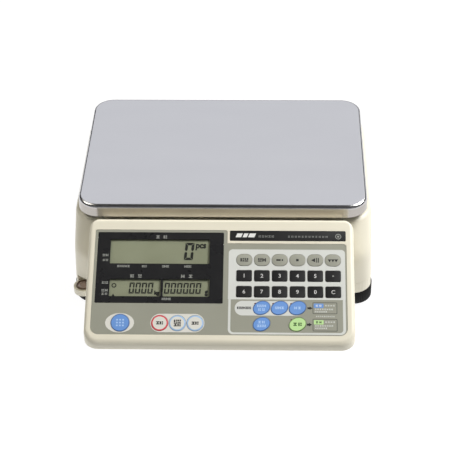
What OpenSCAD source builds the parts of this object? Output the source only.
// Counting scale: flat steel pan over a moulded body, with a sloping display and key console in front.
// Frame: +Z up, +X to the user's right, -Y towards the user. The origin is on the table,
// under the middle of the whole scale. All sizes are in millimetres.

/* [Body] */
// Width of the body
body_w = 313; // [312:1:330]
// Depth of the whole scale, console included
overall_d = 355; // [350:1:370]
// Depth of the body without the console
body_d = 233.5; // [230:0.5:240]
// Height of the body's flat top above the table
body_top_z = 99; // [96:0.5:100]
// Wall thickness of the mouldings
wall = 3; // [2.5:0.25:3.5]
// Corner radius of the body at the front
body_front_r = 20; // [16:1:24]
// Corner radius of the body at the back
body_back_r = 35; // [25:1:40]
// Height at which the front and sides start to lean in
shoulder_z = 67; // [60:1:72]
// How far the front shoulder leans back at the top
shoulder_run = 24; // [16:1:28]

/* [Weighing pan] */
// Width of the pan
pan_w = 300; // [290:1:304]
// Depth of the pan
pan_d = 210; // [200:1:212]
// Height of the pan's top above the table
pan_top_z = 121; // [119:0.5:124]
// Height of the pan's turned-down edge
pan_edge_h = 14; // [12:0.5:15]
// Sheet thickness of the pan
pan_t = 1.2; // [0.8:0.1:1.5]
// Corner radius of the pan
pan_r = 22; // [16:1:26]

/* [Console] */
// Width of the console
console_w = 268; // [262:1:274]
// Slope of the panel, in degrees
panel_tilt = 28; // [26:0.5:30]
// Length of the panel up the slope
panel_len = 131; // [129:1:133]
// Height of the panel's lower edge above the table
panel_low_z = 54.5; // [52:0.5:58]
// Wall thickness of the console
console_wall = 2.5; // [2:0.25:3]

/* [Keys] */
// Pitch of the keys across the panel
key_pitch_x = 17.75; // [17.5:0.05:18]
// Pitch of the key rows up the panel
key_pitch_y = 17.3; // [17:0.05:17.6]
// How far a key goes down
key_travel = 0.5; // [0.3:0.05:0.5]
// Gap round each key
key_gap = 0.3; // [0.3:0.05:0.4]

/* [Levelling feet] */
// Radius of a foot's turning knob
foot_knob_r = 20; // [16:0.5:20.5]
// Height of a foot, screwed right in
foot_h = 20.5; // [19:0.5:20.5]
// Thickness of the rubber pad under a foot
foot_pad_h = 2; // [2:0.5:4]
// Radius of a foot's threaded stud
stud_r = 4; // [3:0.5:4]

/* [Hidden] */
$fn = 48;
front_y = -overall_d / 2;
back_y = overall_d / 2;
body_front_y = back_y - body_d;
base_z = 21;
base_floor_t = 3;
floor_z = base_z + base_floor_t;
split_z = 33;
shoulder_lean = 1;
top_lean = 1.4;
running_gap = 0.05;
over = 1;

pan_front_y = body_front_y + 16;
pan_mid_y = pan_front_y + pan_d / 2;
pan_under_z = pan_top_z - pan_t;
pan_low_z = pan_top_z - pan_edge_h;

panel_low_y = front_y + 1.5;
console_back_y = body_front_y - 0.2;
console_under_z = 45;
console_front_r = 15;
console_back_r = 9.5;
underside_rise = 5;
saddle_half_w = 126;

face_t = 2.5;
recess_d = 1.7;
membrane_top = -0.2;
membrane_low = -1.5;
dome_top = -1.3;
key_low = -0.75;
key_high = 0.15;
board_top = -9;
board_t = 1.6;

window_x = [-124.6, 3.0];
window_y = [41.2, 119];
plate_x = [9, 125.8];
plate_y = [110, 121.2];

first_col_x = 23.9;
first_row_y = 88.8;
ring_key_x = -58.8;
left_keys_y = 20;
ring_r = 8.3;
power_r = 9.2;

cell_z = [36, 76];
cell_half_l = 75;
cell_half_w = 12.5;
block_half_w = 13;
frame_z = [101, 107];
seat_z = 113;
corner_x = 126;
corner_y = 83;
m6_r = 3;
m6_hole_r = 3.3;

foot_x = 138;
foot_y = [-32, 150];
boss_top_z = 38;
level_pos = [-147.2, -54.5];
level_z = 28;
level_boss_r = 10.5;
level_pocket_r = 8;
level_niche_z = 36;
jack_x = -114;
jack_z = 46;

CREAM = "#e4e0cf";
GREY = "#96978b";
LIGHT = "#d8dad4";
DARK = "#2b2b2d";
BLUE = "#6f9bdc";
GREEN = "#bfe29f";
RED_RING = "#d75560";
BLUE_RING = "#a2bbdb";
OVAL = "#9b9d91";
STEEL = "#c4c5cb";
CAST = "#9a9c9e";
RUBBER = "#1f1f20";
LCD = "#8d9178";
ZINC = "#b0b4b8";

function col(i) = first_col_x + key_pitch_x * i;
function row(i) = first_row_y - key_pitch_y * i;

// Each key: name, place across and up the panel, outline, colour
KEYS = concat(
    [["key_power", -98, left_keys_y, "power", BLUE]],
    [for (i = [0:2])
        [["key_ring_left", "key_ring_middle", "key_ring_right"][i],
         ring_key_x + 17.5 * i, left_keys_y, "ring", i == 0 ? RED_RING : BLUE_RING]],
    [for (i = [0:5]) [str("key_oval_", i + 1), col(i), row(0), "oval", OVAL]],
    [for (i = [0:5])
        [["key_1", "key_2", "key_3", "key_4", "key_5", "key_point"][i], col(i), row(1), "block", DARK]],
    [for (i = [0:5])
        [["key_6", "key_7", "key_8", "key_9", "key_0", "key_c"][i], col(i), row(2), "block", DARK]],
    [for (i = [0:2]) [str("key_blue_", i + 1), col(i + 1), row(3), "slanted", BLUE]],
    [["key_blue_4", col(1), row(4), "slanted", BLUE]],
    [["key_green", col(3), row(4), "slanted", GREEN]]
);

// Each foot: name ending, place on the table
FEET = [
    ["front_left", -foot_x, foot_y[0]],
    ["front_right", foot_x, foot_y[0]],
    ["back_left", -foot_x, foot_y[1]],
    ["back_right", foot_x, foot_y[1]]
];

SCREW_PLACES = [for (x = [-100, 0, 100], y = [-30, 160]) [x, y]];

// ---- shared shapes ----

function arc(cx, cy, r, from, to, steps = 8) =
    [for (i = [0:steps]) let (a = from + (to - from) * i / steps) [cx + r * cos(a), cy + r * sin(a)]];

// A rectangle with its own radius on the front and the back corners
module soft_rect(x0, x1, y0, y1, front_r, back_r) {
    polygon(concat(
        arc(x0 + front_r, y0 + front_r, front_r, 180, 270),
        arc(x1 - front_r, y0 + front_r, front_r, 270, 360),
        arc(x1 - back_r, y1 - back_r, back_r, 0, 90),
        arc(x0 + back_r, y1 - back_r, back_r, 90, 180)
    ));
}

module soft_slab(x0, x1, y0, y1, r, z0, z1) {
    translate([0, 0, z0])
        linear_extrude(z1 - z0)
            soft_rect(x0, x1, y0, y1, r, r);
}

module box(low, high) {
    translate(low)
        cube(high - low);
}

module rod(x, y, z0, z1, r) {
    translate([x, y, z0])
        cylinder(r = r, h = z1 - z0);
}

// The panel's own frame: x across, y up the slope from its lower edge, z out of it
module on_panel() {
    translate([0, panel_low_y, panel_low_z])
        rotate([panel_tilt, 0, 0])
            children();
}

// A side outline in y and z, drawn across the whole width
module side_extrude(half_w, points) {
    translate([-half_w, 0, 0])
        rotate([90, 0, 90])
            linear_extrude(2 * half_w)
                polygon(points);
}

// Height of a layer of the panel, at depth n, over the place y
function panel_z(y, n) =
    panel_low_z + (y - panel_low_y) * tan(panel_tilt) + n / cos(panel_tilt);

function underside_z(y) = console_under_z + underside_rise * (y - front_y) / (console_back_y - front_y);

// ---- body ----

// Plan of the body at one height, leaning in by side, front and back
module body_plan(inset, side, front, back) {
    soft_rect(
        -body_w / 2 + inset + side, body_w / 2 - inset - side,
        body_front_y + inset + front, back_y - inset - back,
        body_front_r - inset, body_back_r - inset
    );
}

module body_layer(z, inset, side, front, back) {
    translate([0, 0, z])
        linear_extrude(0.01)
            body_plan(inset, side, front, back);
}

// The body's outside, or its hollow when inset is the wall
module body_form(inset, low_z) {
    hull() {
        body_layer(low_z, inset, 0, 0, 0);
        body_layer(shoulder_z - inset / 2, inset, shoulder_lean, 0.5, 0.5);
    }
    hull() {
        body_layer(shoulder_z - inset / 2, inset, shoulder_lean, 0.5, 0.5);
        body_layer(body_top_z - inset - 0.01, inset, top_lean, shoulder_run, 2);
    }
}

// The raised block that the console is fixed to
module saddle(inset, low_z) {
    box([-saddle_half_w + inset, body_front_y + inset, low_z],
        [saddle_half_w - inset, body_front_y + 28 - inset, body_top_z + 1 - inset]);
}

module cable_window() {
    box([-15, console_back_y - 10, 68], [15, body_front_y + 10, 84]);
}

module upper_housing() {
    color(CREAM)
        difference() {
            union() {
                difference() {
                    union() {
                        body_form(0, split_z);
                        saddle(0, shoulder_z - 5);
                    }
                    difference() {
                        union() {
                            body_form(wall, split_z - over);
                            saddle(wall, shoulder_z - 5 - over);
                        }
                        rod(level_pos[0], level_pos[1], split_z - 2 * over, level_niche_z + wall, level_boss_r + wall);
                    }
                }
                for (p = SCREW_PLACES)
                    rod(p[0], p[1], floor_z + 0.2, body_top_z - wall / 2, 4.5);
            }
            rod(level_pos[0], level_pos[1], split_z - 3 * over, level_niche_z, level_boss_r);
            for (p = SCREW_PLACES)
                rod(p[0], p[1], floor_z - over, floor_z + 18, 1.45);
            cable_window();
            box([cell_half_l - 48, pan_mid_y - block_half_w - 4, body_top_z - wall - over],
                [cell_half_l + 4, pan_mid_y + block_half_w + 4, body_top_z + over]);
            translate([jack_x, back_y - 10, jack_z])
                rotate([-90, 0, 0])
                    cylinder(r = 5.6, h = 20);
        }
}

module base_tray() {
    rim_gap = wall + 0.4;
    color(CREAM)
        difference() {
            union() {
                difference() {
                    translate([0, 0, base_z])
                        linear_extrude(split_z - base_z)
                            body_plan(0, 0, 0, 0);
                    translate([0, 0, floor_z])
                        linear_extrude(split_z - base_z)
                            body_plan(wall, 0, 0, 0);
                }
                // Rim that locates the upper housing
                difference() {
                    translate([0, 0, floor_z - 0.5])
                        linear_extrude(split_z + 5 - floor_z)
                            body_plan(rim_gap, 0, 0, 0);
                    translate([0, 0, floor_z - over])
                        linear_extrude(20)
                            body_plan(rim_gap + 2, 0, 0, 0);
                    rod(level_pos[0], level_pos[1], split_z, split_z + 10, level_boss_r + 4.5);
                }
                // Pedestal of the load cell's fixed end
                box([-cell_half_l, pan_mid_y - block_half_w, floor_z - 0.5],
                    [-cell_half_l + 44, pan_mid_y + block_half_w, cell_z[0]]);
                // Boss of the overload stop
                rod(60, pan_mid_y, floor_z - 0.5, 30, 8);
                for (f = FEET)
                    rod(f[1], f[2], floor_z - 0.5, boss_top_z, 8.5);
                // Lug of the level, and the wall round its niche in the corner
                rod(level_pos[0], level_pos[1], base_z, level_z, level_boss_r);
                intersection() {
                    rod(level_pos[0], level_pos[1], floor_z - 0.5, split_z, level_boss_r + wall);
                    translate([0, 0, base_z])
                        linear_extrude(split_z)
                            body_plan(wall / 2, 0, 0, 0);
                }
                // Stiffening ribs
                for (y = [15, 115])
                    box([-90, y - 1.25, floor_z - 0.5], [90, y + 1.25, floor_z + 9]);
                // Walls of the battery's bay
                for (y = [37, 141.5])
                    box([98, y - 1.25, floor_z - 0.5], [127, y + 1.25, floor_z + 14]);
            }
            for (f = FEET)
                rod(f[1], f[2], base_z - over, boss_top_z + over, stud_r + running_gap);
            rod(level_pos[0], level_pos[1], level_z, split_z + over, level_boss_r);
            rod(level_pos[0], level_pos[1], level_z - 4, split_z, level_pocket_r);
            rod(60, pan_mid_y, base_z - over, 31, m6_r + running_gap);
            for (x = cell_bolt_x(-1)) {
                rod(x, pan_mid_y, base_z - over, cell_z[0] + over, m6_hole_r);
                rod(x, pan_mid_y, base_z - over, base_z + 7, 6);
            }
            for (p = SCREW_PLACES) {
                rod(p[0], p[1], base_z - over, floor_z + over, 1.7);
                rod(p[0], p[1], base_z - over, base_z + 1.6, 3.2);
            }
        }
}

module housing_screws() {
    color(ZINC)
        for (p = SCREW_PLACES) {
            rod(p[0], p[1], base_z + 0.1, base_z + 1.6, 3);
            rod(p[0], p[1], base_z + 1, base_z + 18, 1.4);
        }
}

// ---- weighing mechanism ----

// Places of the two bolts at one end of the cell
function cell_bolt_x(end) = [for (d = [9, 34]) end * (cell_half_l - d)];

module load_cell() {
    mid_z = (cell_z[0] + cell_z[1]) / 2;
    color(CAST)
        difference() {
            box([-cell_half_l, pan_mid_y - cell_half_w, cell_z[0]],
                [cell_half_l, pan_mid_y + cell_half_w, cell_z[1]]);
            // Two bores joined by a slot make the four thin flexures
            for (x = [-15, 15])
                translate([x, pan_mid_y - 20, mid_z])
                    rotate([-90, 0, 0])
                        cylinder(r = 16, h = 40);
            box([-15, pan_mid_y - 20, mid_z - 4], [15, pan_mid_y + 20, mid_z + 4]);
            for (x = cell_bolt_x(-1))
                rod(x, pan_mid_y, cell_z[0] - over, cell_z[0] + 14, m6_r + running_gap);
            for (x = cell_bolt_x(1))
                rod(x, pan_mid_y, cell_z[1] - 14, cell_z[1] + over, m6_r + running_gap);
        }
}

module cell_top_block() {
    color(CAST)
        difference() {
            box([cell_half_l - 44, pan_mid_y - block_half_w, cell_z[1]],
                [cell_half_l, pan_mid_y + block_half_w, frame_z[0]]);
            for (x = cell_bolt_x(1))
                rod(x, pan_mid_y, cell_z[1] - over, frame_z[0] + over, m6_hole_r);
        }
}

module cell_base_bolts() {
    color(ZINC)
        for (x = cell_bolt_x(-1)) {
            rod(x, pan_mid_y, base_z + 1, base_z + 7, 5);
            rod(x, pan_mid_y, base_z + 6, cell_z[0] + 13, m6_r);
        }
}

module cell_top_bolts() {
    color(ZINC)
        for (x = cell_bolt_x(1)) {
            rod(x, pan_mid_y, frame_z[1], frame_z[1] + 5, 5);
            rod(x, pan_mid_y, cell_z[1] - 13, frame_z[1] + 1, m6_r);
        }
}

module overload_stop() {
    color(ZINC) {
        rod(60, pan_mid_y, floor_z + 1, cell_z[0] - 0.7, m6_r);
        translate([60, pan_mid_y, 30])
            cylinder(r = 5.5, h = 3.5, $fn = 6);
    }
}

module pan_frame() {
    arm_angle = atan2(corner_y, corner_x);
    color(CAST)
        difference() {
            union() {
                box([-45, pan_mid_y - 28, frame_z[0]], [82, pan_mid_y + 28, frame_z[1]]);
                for (s = [-1, 1])
                    translate([0, pan_mid_y, frame_z[0]])
                        rotate([0, 0, s * arm_angle])
                            translate([-norm([corner_x, corner_y]), -8, 0])
                                cube([2 * norm([corner_x, corner_y]), 16, frame_z[1] - frame_z[0]]);
                for (x = [-corner_x, corner_x], y = [-corner_y, corner_y])
                    rod(x, pan_mid_y + y, frame_z[0], seat_z, 11);
            }
            for (x = cell_bolt_x(1))
                rod(x, pan_mid_y, frame_z[0] - over, frame_z[1] + over, m6_hole_r);
            for (x = [-corner_x, corner_x], y = [-corner_y, corner_y])
                rod(x, pan_mid_y + y, frame_z[0] - over, seat_z + over, m6_r + running_gap);
        }
}

module pan_seats() {
    color(RUBBER)
        for (x = [-corner_x, corner_x], y = [-corner_y, corner_y]) {
            rod(x, pan_mid_y + y, seat_z, pan_under_z, 8);
            rod(x, pan_mid_y + y, frame_z[0] + 2, seat_z + 1, m6_r);
        }
}

module weighing_pan() {
    half_w = pan_w / 2;
    pan_back_y = pan_front_y + pan_d;
    bend = 3;
    color(STEEL)
        difference() {
            hull() {
                soft_slab(-half_w, half_w, pan_front_y, pan_back_y, pan_r, pan_low_z, pan_top_z - bend);
                soft_slab(-half_w + bend, half_w - bend, pan_front_y + bend, pan_back_y - bend,
                    pan_r - bend, pan_low_z, pan_top_z);
            }
            hull() {
                soft_slab(-half_w + pan_t, half_w - pan_t, pan_front_y + pan_t, pan_back_y - pan_t,
                    pan_r - pan_t, pan_low_z - over, pan_under_z - bend);
                soft_slab(-half_w + pan_t + bend, half_w - pan_t - bend, pan_front_y + pan_t + bend,
                    pan_back_y - pan_t - bend, pan_r - pan_t - bend, pan_low_z - over, pan_under_z);
            }
        }
}

module battery() {
    color(DARK) {
        box([100, 40, floor_z], [147, 140, floor_z + 66]);
        for (y = [52, 128])
            box([108, y - 3, floor_z + 65], [114, y + 3, floor_z + 71]);
    }
}

// ---- feet, level and power inlet ----

module foot_knob(f) {
    grip_n = 24;
    color(DARK)
        union() {
            difference() {
                rod(f[1], f[2], foot_pad_h, foot_h, foot_knob_r);
                for (i = [0:grip_n - 1])
                    translate([f[1], f[2], foot_pad_h - over])
                        rotate([0, 0, 360 * i / grip_n])
                            translate([foot_knob_r + 0.7, 0, 0])
                                cylinder(r = 1.5, h = foot_h + 2 * over, $fn = 16);
            }
            rod(f[1], f[2], foot_h - over, boss_top_z - 1, stud_r);
        }
}

module foot_pad(f) {
    color(RUBBER)
        rod(f[1], f[2], 0, foot_pad_h, foot_knob_r - 3);
}

module level_ring() {
    color(CREAM)
        difference() {
            rod(level_pos[0], level_pos[1], level_z - 4, level_z + 1.5, level_pocket_r - running_gap);
            rod(level_pos[0], level_pos[1], level_z - 5, level_z + 3, 6.2);
        }
}

module level_vial() {
    color("#c9a08a")
        rod(level_pos[0], level_pos[1], level_z - 4, level_z + 0.8, 6.2 - running_gap);
}

module dc_jack() {
    color(DARK)
        difference() {
            union() {
                box([jack_x - 7, back_y - 16, jack_z - 6], [jack_x + 7, back_y - 4, jack_z + 6]);
                translate([jack_x, back_y - 5, jack_z])
                    rotate([-90, 0, 0])
                        cylinder(r = 5.5, h = 4.5);
            }
            // Ring-shaped socket round the centre pin
            translate([jack_x, back_y - 11, jack_z])
                rotate([-90, 0, 0])
                    difference() {
                        cylinder(r = 3.1, h = 12);
                        translate([0, 0, -over])
                            cylinder(r = 1, h = 10);
                    }
        }
}

// ---- console ----

// The console's outside, or its hollow when inset is the wall
module console_plan(inset) {
    soft_rect(-console_w / 2 + inset, console_w / 2 - inset, front_y + inset, console_back_y - inset,
        console_front_r - inset, console_back_r - inset);
}

module console_form() {
    crown_y = panel_low_y + panel_len * cos(panel_tilt);
    crown_z = panel_z(crown_y, 0);
    intersection() {
        linear_extrude(150)
            console_plan(0);
        side_extrude(console_w, [
            [front_y, console_under_z + 1.5],
            [front_y, panel_low_z - 2.5],
            [front_y + 0.4, panel_low_z - 1],
            [panel_low_y, panel_low_z],
            [crown_y, crown_z],
            [crown_y + 2, crown_z],
            [console_back_y, crown_z - 2.5],
            [console_back_y, underside_z(console_back_y)],
            [front_y + 1.5, console_under_z]
        ]);
    }
}

module console_hollow() {
    y0 = front_y + console_wall;
    y1 = console_back_y - console_wall;
    depth = -recess_d - face_t;
    intersection() {
        linear_extrude(150)
            console_plan(console_wall);
        side_extrude(console_w, [[y0, 30], [y0, panel_z(y0, depth)], [y1, panel_z(y1, depth)], [y1, 30]]);
    }
}

// Outline of the grey membrane: the nameplate's field is cut out of its upper right
module membrane_outline(grow = 0) {
    offset_x = 126.3 + grow;
    polygon(concat(
        arc(-127.2 - grow + 8, 7.8 - grow + 8, 8, 180, 270),
        arc(offset_x - 8, 7.8 - grow + 8, 8, 270, 360),
        arc(offset_x - 3, 106.9 + grow - 3, 3, 0, 90),
        [[6.5 + grow, 106.9 + grow]],
        arc(6.5 + grow - 2, 121.6 + grow - 2, 2, 0, 90),
        arc(-127.2 - grow + 2, 121.6 + grow - 2, 2, 90, 180)
    ));
}

module panel_slab(x, y, low, high) {
    translate([x[0], y[0], low])
        cube([x[1] - x[0], y[1] - y[0], high - low]);
}

module console_housing() {
    color(CREAM)
        difference() {
            union() {
                difference() {
                    console_form();
                    console_hollow();
                }
                // Posts that carry the circuit board
                on_panel()
                    for (x = [-116, -5, 116], y = [40, 116])
                        translate([x, y, board_top])
                            cylinder(r = 3, h = -board_top - recess_d - face_t / 2);
            }
            on_panel() {
                translate([0, 0, -recess_d])
                    linear_extrude(5)
                        membrane_outline(0.2);
                panel_slab(plate_x + [-0.2, 0.2], plate_y + [-0.2, 0.2], -0.9, 5);
                // Opening over the three displays
                panel_slab([-114.5, -7.5], [45, 113.5], -10, 1);
            }
            cable_window();
        }
}

module console_cover() {
    gap = console_wall + 0.2;
    y0 = front_y + gap;
    y1 = console_back_y - gap;
    color(CREAM)
        intersection() {
            linear_extrude(150)
                console_plan(gap);
            side_extrude(console_w, [
                [y0, underside_z(y0)],
                [y0, underside_z(y0) + console_wall],
                [y1, underside_z(y1) + console_wall],
                [y1, underside_z(y1)]
            ]);
        }
}

module nameplate() {
    color(DARK)
        on_panel()
            panel_slab(plate_x, plate_y, -0.9, -0.1);
}

module display_window() {
    color(DARK)
        on_panel()
            panel_slab(window_x, window_y, -recess_d, membrane_top);
}

module lcd(x, y) {
    color(LCD)
        on_panel()
            panel_slab(x, y, board_top, -2.2);
}

module lcd_count() {
    lcd([-114, -8], [81.5, 113]);
}

module lcd_weight() {
    lcd([-114, -58.3], [45.5, 69]);
}

module lcd_unit_weight() {
    lcd([-57.9, -8], [45.5, 69]);
}

module main_board() {
    color("#2f6b45")
        on_panel()
            union() {
                panel_slab([-120, 120], [36, 118], board_top - board_t, board_top);
                // Processor, cell connector and sounder on the back
                panel_slab([40, 54], [70, 84], board_top - board_t - 1.5, board_top - 1);
                panel_slab([-12, 12], [98, 106], board_top - board_t - 8, board_top - 1);
                translate([90, 92, board_top - board_t - 7])
                    cylinder(r = 6, h = 7.5);
            }
}

module dome_sheet() {
    color(LIGHT)
        on_panel()
            union() {
                panel_slab([-110, 3.5], [10, 32], -recess_d, membrane_low);
                panel_slab([3.5, 123], [10, 100], -recess_d, membrane_low);
                for (k = KEYS)
                    translate([k[1], k[2], membrane_low - 0.1])
                        cylinder(r = 4, h = dome_top - membrane_low + 0.1);
            }
}

// ---- keys ----

function tilted_oval(a, b, turn) =
    [for (i = [0:47]) let (t = i * 7.5)
        [a * cos(t) * cos(turn) - b * sin(t) * sin(turn), a * cos(t) * sin(turn) + b * sin(t) * cos(turn)]];

module key_outline(shape, grow) {
    if (shape == "power")
        circle(r = power_r + grow);
    if (shape == "ring")
        circle(r = ring_r + grow);
    if (shape == "oval")
        soft_rect(-7.9 - grow, 7.9 + grow, -6.4 - grow, 6.4 + grow, 5.8 + grow, 5.8 + grow);
    if (shape == "block")
        soft_rect(-7.65 - grow, 7.65 + grow, -6 - grow, 6 + grow, 1.6 + grow, 1.6 + grow);
    if (shape == "slanted")
        polygon(tilted_oval(8.8 + grow, 7.1 + grow, 25));
}

module keypad_overlay() {
    color(GREY)
        on_panel()
            difference() {
                translate([0, 0, membrane_low])
                    linear_extrude(membrane_top - membrane_low)
                        membrane_outline();
                panel_slab(window_x + [-0.2, 0.2], window_y + [-0.2, 0.2], -5, 5);
                for (k = KEYS)
                    translate([k[1], k[2], -5])
                        linear_extrude(10)
                            key_outline(k[3], key_gap);
            }
}

module key_pad(k) {
    color(k[4])
        on_panel()
            translate([k[1], k[2], key_low])
                linear_extrude(key_high - key_low)
                    key_outline(k[3], 0);
}

base_tray();
upper_housing();
console_housing();
console_cover();
keypad_overlay();
nameplate();
display_window();
lcd_count();
lcd_weight();
lcd_unit_weight();
main_board();
dome_sheet();
weighing_pan();
pan_frame();
pan_seats();
load_cell();
cell_top_block();
cell_base_bolts();
cell_top_bolts();
overload_stop();
level_vial();
level_ring();
dc_jack();
battery();
housing_screws();
for (f = FEET) foot_knob(f);
for (f = FEET) foot_pad(f);
for (k = KEYS) key_pad(k);
